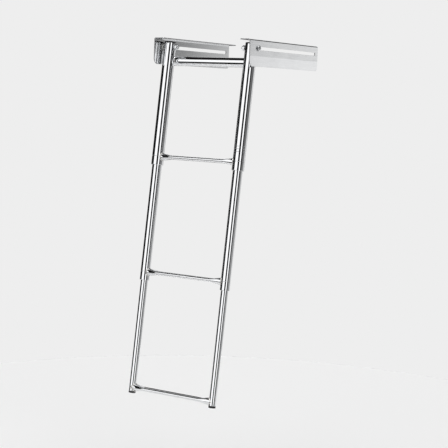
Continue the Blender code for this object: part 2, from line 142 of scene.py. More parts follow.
# Caps, collars and fasteners
TOP_CAP_HEIGHT = 3.5 * MM
FOOT_CAP_HEIGHT = 5.7 * MM
TOP_CAP_PLUG = 4.8 * MM
FOOT_CAP_PLUG = 12 * MM
CAP_SIDE = 0.7                      # share of a cap's height that is straight
FULLNESS = 0.7                      # of a cap's dome: 1 is round, less is squarer
CROWN_STEPS = 16
COLLAR_LIP = 1.5 * MM
BOLT_RADIUS = 4 * MM
BOLT_CHAMFER = 0.8 * MM
HEAD_SIDE = 0.22                    # share of a bolt head's height that is straight
BORE_RADIUS = 4.4 * MM
SOCKET_RADIUS = 2.9 * MM
SOCKET_DEPTH = 2.4 * MM
NUT_RADIUS = 7.5 * MM
NUT_HEXAGON = 5.2 * MM
NUT_CHAMFER = 1.1 * MM
NUT_CHAMFER_HEIGHT = 0.6 * NUT_CHAMFER
NUT_COLLAR_RADIUS = 5.8 * MM
NUT_ROLL = 1.2 * MM                 # rounding of the collar's top
RING_RADIUS = 4.7 * MM              # of the nylon ring in the collar
RING_DEPTH = 2.4 * MM
RING_SINK = 0.5 * MM
RING_EDGE = 0.2 * MM
RING_CLEARANCE = 0.1 * MM           # between the ring and the bolt


# ---------------------------------------------------------------- places in the frame

def size_of(node):
    low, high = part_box(node)
    return high - low


def radius_of(node):
    return size_of(node).x / 2


def heights_of(node):
    """Bottom and top of a node turned about a stile, on the stile's axis."""
    low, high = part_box(node)
    lean = radius_of(node) * math.sin(TILT)
    return ((low.z + lean - PIVOT.z) / math.cos(TILT), (high.z - lean - PIVOT.z) / math.cos(TILT))


def reach_of(node):
    """Nearest and furthest distance of a node from the centre plane."""
    low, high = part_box(node)
    return sorted((abs(low.x), abs(high.x)))


STILE_X = sum(reach_of("right_outer_tube")) / 2


def on_stile(side):
    """Frame of a stile, Z up along it, with its origin at the pivot's height."""
    lean = Matrix.Rotation(-TILT, 4, "X")
    return Matrix.Translation(PIVOT + Vector((side * STILE_X, 0, 0))) @ lean


def on_axis_of(node):
    """Frame of a cross tube, X along it, square to the stiles."""
    low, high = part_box(node)
    return Matrix.Translation((low + high) / 2) @ Matrix.Rotation(-TILT, 4, "X")


def height_on_stile(node):
    return (on_stile(1).inverted() @ on_axis_of(node).translation).z


def setback_of(node):
    """Distance of a cross tube's axis behind the stiles' axes, none if it is a hair."""
    setback = (on_stile(1).inverted() @ on_axis_of(node).translation).y
    return setback if setback > GAP else 0.0


def outward(side, distance):
    """Frame on the pivot axis whose Z points away from the centre plane."""
    turn = Matrix.Rotation(side * math.pi / 2, 4, "Y")
    return Matrix.Translation(PIVOT + Vector((side * distance, 0, 0))) @ turn


# ---------------------------------------------------------------- mesh helpers

def arc(centre, radius, start, end, steps):
    """Points of an arc in a plane, both ends included, angles in degrees."""
    points = []
    for step in range(steps + 1):
        angle = math.radians(start + (end - start) * step / steps)
        points.append((centre[0] + radius * math.cos(angle), centre[1] + radius * math.sin(angle)))
    return points


def make_mesh(name, vertices, faces):
    """Closed mesh with its normals outwards, shaded smooth but for its sharp edges."""
    mesh = bpy.data.meshes.new(name)
    mesh.from_pydata(vertices, [], faces)
    cage = bmesh.new()
    cage.from_mesh(mesh)
    bmesh.ops.recalc_face_normals(cage, faces=cage.faces)
    cage.to_mesh(mesh)
    cage.free()
    mesh.shade_smooth()
    mesh.set_sharp_from_angle(angle=SMOOTH)
    return mesh


def softened(profile, radius, closed=True):
    """Profile with its sharp corners rounded, and a support point on both sides of each."""
    points = []
    count = len(profile)
    for index, corner in enumerate(profile):
        before = Vector(profile[index - 1]) - Vector(corner)
        after = Vector(profile[(index + 1) % count]) - Vector(corner)
        at_end = not closed and index in (0, count - 1)
        if at_end or math.pi - before.angle(after) < ROUND_FROM:
            points.append(corner)
        else:
            points += rounded_corner(Vector(corner), before, after, radius)
    return points


def rounded_corner(corner, before, after, radius):
    """Rounding of one corner, given the ways to the points before and after it."""
    half = before.angle(after) / 2
    room = ROUNDING_REACH * min(before.length, after.length)
    setback = min(radius / math.tan(half), room)
    start = corner + before.normalized() * setback
    end = corner + after.normalized() * setback
    points = []
    for distance in (before, after):
        support = corner + distance.normalized() * min(2 * setback, SUPPORT_REACH * distance.length)
        points.append(tuple(support))
    bend = []
    for step in range(CORNER_STEPS + 1):
        share = step / CORNER_STEPS
        bend.append(tuple(start * (1 - share) ** 2 + corner * 2 * share * (1 - share) + end * share ** 2))
    return [points[0]] + bend + [points[1]]


def lathe(name, profile, closed=True, segments=SEGMENTS):
    """Mesh turned about Z from (radius, height) points; an open profile starts and ends on Z."""
    vertices = []
    rings = []
    for radius, height in profile:
        if radius < SAME_POINT:
            rings.append([len(vertices)])
            vertices.append((0, 0, height))
            continue
        rings.append(list(range(len(vertices), len(vertices) + segments)))
        for step in range(segments):
            angle = 2 * math.pi * step / segments
            vertices.append((radius * math.cos(angle), radius * math.sin(angle), height))
    pairs = list(zip(rings, rings[1:]))
    if closed:
        pairs.append((rings[-1], rings[0]))
    faces = []
    for first, second in pairs:
        faces += bridge(first, second)
    return make_mesh(name, vertices, faces)


def bridge(first, second):
    """Faces between two rings of vertex numbers, either of which may be a single point."""
    count = max(len(first), len(second))
    faces = []
    for i in range(count):
        j = (i + 1) % count
        corners = [first[i % len(first)], first[j % len(first)],
                   second[j % len(second)], second[i % len(second)]]
        faces.append(list(dict.fromkeys(corners)))
    return faces


def loft(name, rings, closed=False):
    """Mesh through rings of points, as many in each."""
    count = len(rings[0])
    vertices = [point for ring in rings for point in ring]
    numbers = [list(range(start, start + count)) for start in range(0, len(vertices), count)]
    pairs = list(zip(numbers, numbers[1:]))
    if closed:
        pairs.append((numbers[-1], numbers[0]))
    faces = []
    for first, second in pairs:
        faces += bridge(first, second)
    return make_mesh(name, vertices, faces)


def cut(piece, mesh, matrix, operation="DIFFERENCE"):
    """Boolean between a placed piece and a mesh, applied at once."""
    tool = bpy.data.objects.new(mesh.name, mesh)
    bpy.context.scene.collection.objects.link(tool)
    tool.matrix_world = matrix
    modifier = piece.modifiers.new("cut", "BOOLEAN")
    modifier.operation = operation
    modifier.solver = "EXACT"
    modifier.object = tool
    bpy.context.view_layer.update()
    graph = bpy.context.evaluated_depsgraph_get()
    result = bpy.data.meshes.new_from_object(piece.evaluated_get(graph))
    piece.modifiers.clear()
    piece.data = result
    result.set_sharp_from_angle(angle=SMOOTH_AFTER_CUT)
    bpy.data.objects.remove(tool, do_unlink=True)


def show(name, mesh, matrix, finish, body):
    """Piece that rides on a body, in the given finish."""
    piece = bpy.data.objects.new(name, mesh)
    bpy.context.scene.collection.objects.link(piece)
    piece.matrix_world = matrix
    piece.data.materials.append(finish)
    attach(piece, body)
    return piece


def stand_in(node, mesh, matrix, finish):
    """Finished piece shown in place of a node."""
    piece = show(node + "_finished", mesh, matrix, finish, BODY_OF[node])
    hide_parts(node)
    return piece


# ---------------------------------------------------------------- finishes

class Finish:
    """A procedural material on a Principled shader, with patterns fixed to the piece."""

    def __init__(self, name, colour, metallic=0.0):
        self.material = bpy.data.materials.new(name)
        self.material.use_nodes = True
        self.tree = self.material.node_tree
        self.shader = self.tree.nodes["Principled BSDF"]
        self.shader.inputs["Base Color"].default_value = (*colour, 1)
        self.shader.inputs["Metallic"].default_value = metallic
        self.place = self.tree.nodes.new("ShaderNodeTexCoord").outputs["Object"]

    def node(self, kind, inputs, **settings):
        made = self.tree.nodes.new(kind)
        for key, value in settings.items():
            setattr(made, key, value)
        for key, value in inputs.items():
            if isinstance(value, bpy.types.NodeSocket):
                self.tree.links.new(value, made.inputs[key])
            else:
                made.inputs[key].default_value = value
        return made

    def grain(self, stretch, detail=3.0, rough=0.55):
        """Noise from 0 to 1 with so many features a metre along each axis."""
        spread = self.node("ShaderNodeMapping", {"Vector": self.place, "Scale": stretch})
        return self.node("ShaderNodeTexNoise", {"Vector": spread.outputs[0], "Scale": 1.0,
                                                "Detail": detail, "Roughness": rough}).outputs["Fac"]

    def between(self, value, low, high, start=0.3, end=0.7):
        """Value moved from the range start-end to the range low-high."""
        return self.node("ShaderNodeMapRange", {"Value": value, "From Min": start, "From Max": end,
                                                "To Min": low, "To Max": high}).outputs[0]

    def join(self, first, second, operation="ADD"):
        """Two values added, or put through another operation."""
        return self.node("ShaderNodeMath", {0: first, 1: second}, operation=operation).outputs[0]

    def blend(self, factor, first, second):
        mixed = self.node("ShaderNodeMix", {"Factor": factor, "A": first, "B": second}, data_type="RGBA")
        return mixed.outputs["Result"]

    def tint(self, factor, first, second):
        return self.blend(factor, (*first, 1), (*second, 1))

    def bump(self, height, depth, normal=None):
        inputs = {"Height": height, "Distance": depth, "Strength": 1.0}
        if normal:
            inputs["Normal"] = normal
        return self.node("ShaderNodeBump", inputs).outputs[0]

    def connect(self, **sockets):
        for name, value in sockets.items():
            self.tree.links.new(value, self.shader.inputs[name.replace("_", " ")])
        return self.material


def along(axis, fine, coarse):
    """Scale of a streaky grain: coarse along one axis and fine across it."""
    return tuple(coarse if index == axis else fine for index in range(3))


def polished_steel(name, axis):
    """Mirror-polished tube: faint buffing lines along it, smudges, and slight waviness."""
    steel = Finish(name, (0.8, 0.81, 0.82), 1.0)
    lines = steel.grain(along(axis, 1400, 25))
    smudges = steel.grain((30, 30, 30), 4)
    waves = steel.grain(along(axis, 40, 9), 1)
    worn = steel.join(steel.between(lines, 0.0, 0.025), steel.between(smudges, 0.02, 0.06))
    colour = steel.tint(smudges, (0.76, 0.77, 0.79), (0.84, 0.845, 0.85))
    surface = steel.bump(waves, 0.09 * MM)
    surface = steel.bump(lines, 0.002 * MM, surface)
    return steel.connect(Roughness=worn, Base_Color=colour, Normal=surface)


def sheet_steel(name):
    """Polished sheet: rolling grain along Y, smudges, scuffs and a painted dark reflection by the slot."""
    steel = Finish(name, (0.78, 0.79, 0.8), 1.0)
    lines = steel.grain(along(1, 1100, 14), 4)
    streaks = steel.grain(along(1, 260, 9), 3)
    smudges = steel.grain((18, 18, 30), 4)
    height = steel.node("ShaderNodeSeparateXYZ", {"Vector": steel.place}).outputs["Z"]
    from_slot = steel.join(steel.join(height, PIVOT.z, "SUBTRACT"), 0.0, "ABSOLUTE")
    # band along the slot: real scuffs in the roughness, and a painted dark reflection in the colour
    scuff_and_reflection_band = steel.between(from_slot, 1.0, 0.0, SCUFF_AND_REFLECTION_REACH - 1 * MM, SCUFF_AND_REFLECTION_REACH)
    scratches = steel.grain(along(1, 2600, 30), 2)
    scuffs = steel.join(steel.between(scratches, 0.0, 0.12, 0.5, 0.8), scuff_and_reflection_band, "MULTIPLY")
    worn = steel.join(steel.between(lines, 0.0, 0.05), steel.between(smudges, 0.06, 0.12))
    worn = steel.join(worn, scuffs)
    plain_sheet_tint = steel.tint(streaks, (0.73, 0.74, 0.755), (0.84, 0.845, 0.85))
    # painted dark reflection: the sheet's colour is darker in the band along the slot
    painted_reflection = steel.tint(streaks, (0.57, 0.58, 0.59), (0.76, 0.765, 0.77))
    colour = steel.blend(scuff_and_reflection_band, plain_sheet_tint, painted_reflection)
    surface = steel.bump(steel.grain((22, 7, 22), 1), 0.12 * MM)
    surface = steel.bump(lines, 0.003 * MM, surface)
    return steel.connect(Roughness=worn, Base_Color=colour, Normal=surface)


def sheared_steel(name):
    """Dull cut edge of the sheet, scored across its thickness."""
    steel = Finish(name, (0.42, 0.42, 0.43), 1.0)
    scores = steel.grain((700, 700, 700), 3)
    surface = steel.bump(scores, 0.03 * MM)
    colour = steel.tint(scores, (0.34, 0.34, 0.35), (0.5, 0.5, 0.51))
    return steel.connect(Roughness=steel.between(scores, 0.35, 0.5), Base_Color=colour, Normal=surface)


def turned_steel(name):
    """Bright fastener steel with fine tool marks."""
    steel = Finish(name, (0.76, 0.77, 0.78), 1.0)
    marks = steel.grain((900, 900, 2600), 3)
    smudges = steel.grain((120, 120, 120), 3)
    worn = steel.join(steel.between(marks, 0.0, 0.07), steel.between(smudges, 0.1, 0.2))
    surface = steel.bump(marks, 0.006 * MM)
    return steel.connect(Roughness=worn, Normal=surface)


def weld_steel(name):
    """Polished weld: rougher than the tube, with a trace of straw heat tint."""
    steel = Finish(name, (0.74, 0.73, 0.71), 1.0)
    patches = steel.grain((400, 400, 400), 3)
    colour = steel.tint(patches, (0.66, 0.64, 0.6), (0.8, 0.79, 0.78))
    surface = steel.bump(patches, 0.05 * MM)
    return steel.connect(Roughness=steel.between(patches, 0.16, 0.3), Base_Color=colour, Normal=surface)


def moulded_nylon(name, dark, light):
    """Moulded nylon with an eggshell surface."""
    nylon = Finish(name, light)
    pores = nylon.grain((1500, 1500, 1500), 2)
    clouds = nylon.grain((90, 90, 90), 3)
    surface = nylon.bump(pores, 0.03 * MM)
    colour = nylon.tint(clouds, dark, light)
    return nylon.connect(Roughness=nylon.between(clouds, 0.36, 0.5), Base_Color=colour, Normal=surface)


STILE_STEEL = polished_steel("stile_steel", 2)
CROSS_STEEL = polished_steel("cross_steel", 0)
SHEET_STEEL = sheet_steel("bracket_steel")
EDGE_STEEL = sheared_steel("edge_steel")
FASTENER_STEEL = turned_steel("fastener_steel")
WELD_STEEL = weld_steel("weld_steel")
WHITE_NYLON = moulded_nylon("white_nylon", (0.74, 0.74, 0.71), (0.86, 0.86, 0.84))
BLACK_NYLON = moulded_nylon("black_nylon", (0.006, 0.006, 0.007), (0.014, 0.014, 0.015))


# ---------------------------------------------------------------- brackets

def stadium(centre, length, width, steps=14):
    """Outline of a slot with round ends along the first axis."""
    x, y = centre
    reach = (length - width) / 2
    return (arc((x + reach, y), width / 2, -90, 90, steps)
            + arc((x - reach, y), width / 2, 90, 270, steps))


class Blank:
    """Flat shape of a bracket: first axis along its length, second across from the web's edge."""

    def __init__(self, node):
        size = size_of(node)
        outside = BEND_RADIUS + SHEET / 2
        self.half_length = size.y / 2
        self.web = size.z - outside
        self.bend_end = self.web + BEND_RADIUS * math.pi / 2
        self.width = self.bend_end + size.x - outside
        self.slot_travel = JOINTS["carriage_slide"]["range_m"][1]

    def outline(self):
        """From the front of the web's lower edge round to the front of the flange."""
        end, top = self.half_length, self.width
        points = arc((FRONT_CORNER - end, FRONT_CORNER), FRONT_CORNER, 180, 270, 14)
        points += arc((end - BACK_CORNER, BACK_CORNER), BACK_CORNER, 270, 360, 10)
        points += arc((end - TOP_CORNER, self.web - TOP_CORNER_DROP), TOP_CORNER, 0, 90, 10)
        back = end - TOP_CORNER
        points += arc((back - FLANGE_CORNER, top - FLANGE_CORNER), FLANGE_CORNER, 0, 90, 8)
        points += arc((FLANGE_CORNER - end, top - FLANGE_CORNER), FLANGE_CORNER, 90, 180, 8)
        return points

    def openings(self):
        """The long slot for the pivot bolt and the fixing slots in the flange."""
        across = self.web + BEND_RADIUS + SHEET / 2 + PIVOT.z
        travel = self.slot_travel
        yield stadium((PIVOT.y + travel / 2, across), travel + SLOT_HEIGHT, SLOT_HEIGHT)
        row = reach_of("right_bracket")[1] - abs(mount_place("right_mounting_face").x)
        width, length = FIXING_SLOT
        for place in FIXING_PLACES:
            yield stadium((place, self.bend_end + row - BEND_RADIUS - SHEET / 2), length, width)

    def folded(self, point, side, outer_x):
        """Place of a point of the flat blank once the flange is bent over."""
        lengthwise, across, depth = point
        outside = BEND_RADIUS + SHEET / 2
        if across <= self.web:
            inset = SHEET / 2 - depth
            height = across - self.web - outside
        elif across < self.bend_end:
            angle = (across - self.web) / BEND_RADIUS
            inset = outside - (BEND_RADIUS + depth) * math.cos(angle)
            height = (BEND_RADIUS + depth) * math.sin(angle) - outside
        else:
            inset = outside + across - self.bend_end
            height = depth - SHEET / 2
        return Vector((side * (outer_x - inset), lengthwise, height))


def mount_place(name):
    for mount in RECORD["mounts"]:
        if mount["name"] == name:
            return Vector(mount["pos_m"])


def flat_sheet(name, outlines):
    """Sheet with rounded edges from closed outlines, the first of which holds the others."""
    curve = bpy.data.curves.new(name, "CURVE")
    curve.dimensions = "2D"
    curve.fill_mode = "BOTH"
    curve.extrude = SHEET / 2 - SHEET_EDGE
    curve.bevel_depth = SHEET_EDGE
    curve.bevel_resolution = 2
    curve.offset = -SHEET_EDGE
    for outline in outlines:
        spline = curve.splines.new("POLY")
        spline.points.add(len(outline) - 1)
        for point, (x, y) in zip(spline.points, outline):
            point.co = (x, y, 0, 1)
        spline.use_cyclic_u = True
    holder = bpy.data.objects.new(name, curve)
    bpy.context.scene.collection.objects.link(holder)
    graph = bpy.context.evaluated_depsgraph_get()
    mesh = bpy.data.meshes.new_from_object(holder.evaluated_get(graph))
    bpy.data.objects.remove(holder, do_unlink=True)
    return mesh


def bracket(label, side):
    """Angle folded from its flat blank, with dull cut edges."""
    node = label + "_bracket"
    blank = Blank(node)
    mesh = flat_sheet(node, [blank.outline()] + list(blank.openings()))
    cage = bmesh.new()
    cage.from_mesh(mesh)
    bmesh.ops.remove_doubles(cage, verts=cage.verts, dist=SAME_POINT)
    for face in cage.faces:
        face.material_index = int(abs(face.normal.z) < 0.5)
    for step in range(BEND_STEPS + 1):
        across = blank.web + (blank.bend_end - blank.web) * step / BEND_STEPS
        bmesh.ops.bisect_plane(cage, geom=cage.verts[:] + cage.edges[:] + cage.faces[:],
                               dist=SAME_POINT, plane_co=(0, across, 0), plane_no=(0, 1, 0))
    outer_x = reach_of(node)[1]
    for vertex in cage.verts:
        vertex.co = blank.folded(vertex.co, side, outer_x)
    bmesh.ops.recalc_face_normals(cage, faces=cage.faces)
    cage.to_mesh(mesh)
    cage.free()
    mesh.shade_smooth()
    piece = stand_in(node, mesh, Matrix.Identity(4), SHEET_STEEL)
    piece.data.materials.append(EDGE_STEEL)
    weighted = piece.modifiers.new("even_shading", "WEIGHTED_NORMAL")
    weighted.weight = 100


# ---------------------------------------------------------------- fasteners at the pivots

def ring_piece(node, side, finish):
    """Washer or spacer on a pivot bolt."""
    near, far = reach_of(node)
    outer = size_of(node).y / 2
    profile = [(outer, far - near), (outer, 0), (BORE_RADIUS, 0), (BORE_RADIUS, far - near)]
    stand_in(node, lathe(node, softened(profile, TURNED_EDGE)), outward(side, near), finish)


def hexagon(name, radius, bottom, top):
    """Six-sided prism, its radius to the corners."""
    corners = arc((0, 0), radius, 0, 300, 5)
    rings = [[(x, y, height) for x, y in corners] for height in (bottom, top)]
    faces = [tuple(range(6)), tuple(range(6, 12))]
    faces += bridge(list(range(6)), list(range(6, 12)))
    return make_mesh(name, rings[0] + rings[1], faces)


def bolt(label, side):
    """Button-head bolt with a hexagon socket; its frame's Z points out of the head."""
    node = label + "_pivot_bolt"
    tip, crown = reach_of(node)
    seat = reach_of(label + "_outer_washer")[1] + GAP
    head, length, radius = crown - seat, tip - seat, size_of(node).y / 2
    dome = [(radius * x, head * (HEAD_SIDE + (1 - HEAD_SIDE) * y)) for x, y in arc((0, 0), 1, 90, 0, 14)]
    shank = [(radius, 0), (BOLT_RADIUS, 0), (BOLT_RADIUS, length + BOLT_CHAMFER),
             (BOLT_RADIUS - BOLT_CHAMFER, length), (0, length)]
    frame_here = outward(side, seat)
    mesh = lathe(node, softened(dome + shank, TURNED_EDGE, closed=False), closed=False)
    piece = stand_in(node, mesh, frame_here, FASTENER_STEEL)
    cut(piece, hexagon("socket", SOCKET_RADIUS, head - SOCKET_DEPTH, head + SOCKET_DEPTH), frame_here)


def lock_nut(label, side):
    """Nut with a nylon ring held in its collar; its frame's Z points away from its seat."""
    node = label + "_lock_nut"
    peak, seat = reach_of(node)
    top = seat - peak
    frame_here = outward(side, seat) @ Matrix.Rotation(math.pi, 4, "X")
    piece = stand_in(node, hexagon(node, NUT_RADIUS, 0, NUT_HEXAGON), frame_here, FASTENER_STEEL)
    barrel = [(0, NUT_HEXAGON), (NUT_RADIUS - NUT_CHAMFER, NUT_HEXAGON),
              (NUT_RADIUS, NUT_HEXAGON - NUT_CHAMFER_HEIGHT), (NUT_RADIUS, NUT_CHAMFER_HEIGHT),
              (NUT_RADIUS - NUT_CHAMFER, 0), (0, 0)]
    cut(piece, lathe("barrel", barrel, closed=False), frame_here, "INTERSECT")
    shoulder = arc((NUT_COLLAR_RADIUS - NUT_ROLL, top - NUT_ROLL), NUT_ROLL, 90, 0, 8)
    collar = [(0, top)] + shoulder + [(NUT_COLLAR_RADIUS, NUT_HEXAGON / 2), (0, NUT_HEXAGON / 2)]
    cut(piece, lathe("nut_collar", collar, closed=False), frame_here, "UNION")
    bore = BOLT_RADIUS + GAP
    hole = [(0, 2 * top), (RING_RADIUS, 2 * top), (RING_RADIUS, top - RING_DEPTH),
            (bore, top - RING_DEPTH), (bore, -OVERCUT), (0, -OVERCUT)]
    cut(piece, lathe("nut_bore", hole, closed=False), frame_here)
    inside = BOLT_RADIUS + RING_CLEARANCE
    ring = [(RING_RADIUS, top - RING_SINK), (RING_RADIUS, top - RING_DEPTH),
            (inside, top - RING_DEPTH), (inside, top - RING_SINK)]
    mesh = lathe("nut_ring", softened(ring, RING_EDGE))
    show(label + "_nut_ring", mesh, frame_here, WHITE_NYLON, BODY_OF[node])


# ---------------------------------------------------------------- stiles

def sleeve(outer, inner, top, bottom):
    """Section of a plain tube."""
    return [(outer, top), (outer, bottom), (inner, bottom), (inner, top)]


def stile_tube(node, side, rings=()):
    """Tube with rounded rims; rings are heights of shallow turned grooves round it."""
    radius = radius_of(node)
    bottom, top = heights_of(node)
    profile = softened(sleeve(radius, radius - WALL, top, bottom), RIM)
    for height in sorted(rings, reverse=True):
        profile = with_groove(profile, radius, height)
    return stand_in(node, lathe(node, profile), on_stile(side), STILE_STEEL)


def with_groove(profile, radius, height):
    """Profile with a shallow round groove in its outer side."""
    above = [index for index, (r, z) in enumerate(profile)
             if z > height and abs(r - radius) < SAME_RADIUS]
    place = max(above)
    groove = []
    for offset in (-2.0, -1.0, -0.5, 0.0, 0.5, 1.0, 2.0):
        share = max(0.0, 1 - abs(offset))
        depth = GROOVE_DEPTH * math.sin(share * math.pi / 2)
        groove.append((radius - depth, height - offset * GROOVE_HALF_WIDTH))
    return profile[:place + 1] + groove + profile[place + 1:]


def collar(node, slider_tube, side):
    """Sleeve under a tube, with a lip at the bottom that holds the guide bush."""
    radius = radius_of(node)
    lip = radius_of(slider_tube) + GAP
    bottom, top = heights_of(node)
    bore = radius - WALL
    profile = [(radius, top), (radius, bottom), (lip, bottom), (lip, bottom + COLLAR_LIP),
               (bore, bottom + COLLAR_LIP), (bore, top)]
    stand_in(node, lathe(node, softened(profile, GROOVE_RIM)), on_stile(side), STILE_STEEL)


def crown_curve():
    """Quarter of a rounded square, from its top to its side."""
    quarter = arc((0, 0), 1, 90, 0, CROWN_STEPS)
    return [(max(0.0, x) ** FULLNESS, max(0.0, y) ** FULLNESS) for x, y in quarter]


def end_cap(node, tube, height, plug, direction, side):
    """Domed plug in the end of a tube; direction is +1 for a top end and -1 for a foot."""
    radius = radius_of(tube)
    end = heights_of(tube)[1 if direction > 0 else 0] + direction * GAP
    bore = radius - WALL - GAP
    crown = [(radius * x, height * (CAP_SIDE + (1 - CAP_SIDE) * y)) for x, y in crown_curve()]
    profile = crown + [(radius, 0), (bore, 0), (bore, -plug), (0, -plug)]
    mesh = lathe(node, softened(profile, TURNED_EDGE, closed=False), closed=False)
    flip = Matrix.Rotation(0 if direction > 0 else math.pi, 4, "X")
    place = on_stile(side) @ Matrix.Translation((0, 0, end)) @ flip
    stand_in(node, mesh, place, BLACK_NYLON)


# ---------------------------------------------------------------- rungs, crossbar and welds

def pressed_section(radius, half_thickness, inset=0.0):
    """Section of a round tube pressed to a flat oval of the same girth, as (y, z) points."""
    flat = max(math.pi * (radius - half_thickness) / 2, LEAST_FLAT)
    round_radius = half_thickness - inset
    points = arc((flat, 0), round_radius, -90, 90, ARC_STEPS)
    points += [(flat * (1 - 2 * step / FLAT_STEPS), round_radius) for step in range(1, FLAT_STEPS)]
    points += arc((-flat, 0), round_radius, 90, 270, ARC_STEPS)
    points += [(flat * (2 * step / FLAT_STEPS - 1), -round_radius) for step in range(1, FLAT_STEPS)]
    return points


def saddle_x(y, stile_radius):
    """Distance from the centre plane at which a stile's skin lies, beside its axis by y."""
    return STILE_X - math.sqrt(max(0.0, stile_radius ** 2 - y ** 2))


def pressed_rung(node, stile_radius):
    """Round tube with its ends cut to the stiles' shape, pressed flat between the tapers."""
    weld_face = STILE_X - stile_radius
    half = []
    for step in range(TAPER_STEPS + 1):
        share = step / TAPER_STEPS
        eased = 0.5 * share + 0.5 * share * share * (3 - 2 * share)
        thick = RUNG_RADIUS - eased * (RUNG_RADIUS - RUNG_HALF_THICKNESS)
        half.append((weld_face - RUNG_COLLAR - share * RUNG_TAPER, thick))
    half.append((half[-1][0] - RUNG_SUPPORT, RUNG_HALF_THICKNESS))
    skins = []
    for inset in (0.0, WALL):
        end = pressed_section(RUNG_RADIUS, RUNG_RADIUS, inset)
        rings = [[(saddle_x(y, stile_radius + GAP), y, z) for y, z in end]]
        for x, thick in half:
            rings.append([(x, y, z) for y, z in pressed_section(RUNG_RADIUS, thick, inset)])
        mirrored = [[(-x, y, z) for x, y, z in ring] for ring in reversed(rings)]
        skins.append(rings + mirrored)
    outer, inner = skins
    mesh = loft(node, outer + inner[::-1], closed=True)
    stand_in(node, mesh, on_axis_of(node), CROSS_STEEL)


def crossbar(node, stile_radius):
    """Tube across the backs of the stiles, notched to their shape and open at its ends."""
    half = size_of(node).x / 2
    inner = CROSSBAR_RADIUS - WALL
    profile = [(CROSSBAR_RADIUS, half), (CROSSBAR_RADIUS, half - NOTCH_ZONE),
               (CROSSBAR_RADIUS, NOTCH_ZONE - half), (CROSSBAR_RADIUS, -half),
               (inner, -half), (inner, NOTCH_ZONE - half), (inner, half - NOTCH_ZONE), (inner, half)]
    mesh = lathe(node, softened(profile, RIM))
    mesh.transform(Matrix.Rotation(math.pi / 2, 4, "Y"))
    piece = stand_in(node, mesh, on_axis_of(node), CROSS_STEEL)
    space = stile_radius + GAP
    stile = [(0, NOTCH_ZONE), (space, NOTCH_ZONE), (space, -NOTCH_ZONE), (0, -NOTCH_ZONE)]
    for label, side in SIDES:
        place = on_stile(side) @ Matrix.Translation((0, 0, height_on_stile(node)))
        cut(piece, lathe("notch", stile, closed=False), place)


def bead_ring(angle, side, tube_radius, stile_radius, setback, number, swell):
    """One ring of the bead where a cross tube meets a stile."""
    def on_joint(t):
        y = tube_radius * math.cos(t)
        return Vector((side * saddle_x(y + setback, stile_radius), y, tube_radius * math.sin(t)))
    spot = on_joint(angle)
    forward = (on_joint(angle + 0.01) - on_joint(angle - 0.01)).normalized()
    off_tube = Vector((0, math.cos(angle), math.sin(angle)))
    off_stile = Vector((spot.x - side * STILE_X, spot.y + setback, 0)).normalized()
    out = (off_tube + off_stile).normalized()
    across = forward.cross(out)
    ripple = abs(math.sin(math.pi * number / RINGS_PER_RIPPLE))
    wander = noise.noise(spot * BEAD_WANDER_SCALE)
    uneven = 1 - BEAD_WANDER + BEAD_RIPPLE_HEIGHT * ripple + BEAD_WANDER * wander
    radius = BEAD_RADIUS * uneven * swell
    centre = spot + out * BEAD_LIFT * BEAD_RADIUS * swell
    ring = []
    for step in range(BEAD_SIDES):
        turn = 2 * math.pi * step / BEAD_SIDES
        point = centre + (out * math.cos(turn) + across * math.sin(turn)) * radius
        if setback == 0.0:
            point.z = min(point.z, tube_radius + BEAD_HEADROOM)
        ring.append(point)
    return ring


def weld(label, side, node, tube_radius, stile_radius):
    """Bead round the whole joint, or as far as the tube touches a stile in front of it."""
    setback = setback_of(node)
    start = math.acos(min(1.0, (stile_radius - setback) / tube_radius))
    span = 2 * (math.pi - start)
    count = RINGS_PER_RIPPLE * round(span * tube_radius / BEAD_RIPPLE)
    closed = start == 0.0
    rings = []
    for number in range(count if closed else count + 1):
        to_end = min(number, count - number) / count
        swell = 1.0 if closed else min(1.0, math.sqrt(BEAD_RUNOUT * to_end) + 0.02)
        angle = start + span * number / count
        rings.append(bead_ring(angle, side, tube_radius, stile_radius, setback, number, swell))
    name = "%s_%s_weld" % (label, node)
    mesh = loft(name, rings, closed)
    show(name, mesh, on_axis_of(node), WELD_STEEL, BODY_OF[node])


# ---------------------------------------------------------------- assembly

def upper_section(label, side):
    """One side of the top stage: stile with its bolt bore, collar, cap and two weld beads."""
    tube = stile_tube(label + "_outer_tube", side, RING_HEIGHTS if side > 0 else ())
    radius = radius_of(label + "_outer_tube")
    bore = [(0, 2 * radius), (BORE_RADIUS, 2 * radius), (BORE_RADIUS, -2 * radius), (0, -2 * radius)]
    cut(tube, lathe("bore", bore, closed=False, segments=BORE_SEGMENTS), outward(side, STILE_X))
    collar(label + "_outer_collar", label + "_middle_tube", side)
    end_cap(label + "_top_cap", label + "_outer_tube", TOP_CAP_HEIGHT, TOP_CAP_PLUG, 1, side)
    weld(label, side, "crossbar", CROSSBAR_RADIUS, radius)
    weld(label, side, "upper_rung", RUNG_RADIUS, radius)


def middle_section(label, side):
    stile_tube(label + "_middle_tube", side)
    collar(label + "_middle_collar", label + "_inner_tube", side)
    weld(label, side, "middle_rung", RUNG_RADIUS, radius_of(label + "_middle_tube"))


def lower_section(label, side):
    stile_tube(label + "_inner_tube", side)
    end_cap(label + "_foot_cap", label + "_inner_tube", FOOT_CAP_HEIGHT, FOOT_CAP_PLUG, -1, side)
    weld(label, side, "lower_rung", RUNG_RADIUS, radius_of(label + "_inner_tube"))


def pivot_hardware(label, side):
    ring_piece(label + "_outer_washer", side, FASTENER_STEEL)
    ring_piece(label + "_inner_washer", side, FASTENER_STEEL)
    ring_piece(label + "_pivot_spacer", side, WHITE_NYLON)
    bolt(label, side)
    lock_nut(label, side)


def dress_hidden_nylon(label):
    """The bushes and sliders inside the stiles keep their own shape."""
    for name in ("_outer_bush", "_middle_bush", "_middle_slider", "_inner_slider"):
        mesh = frame["nodes"][label + name].data
        mesh.materials.clear()
        mesh.materials.append(WHITE_NYLON)


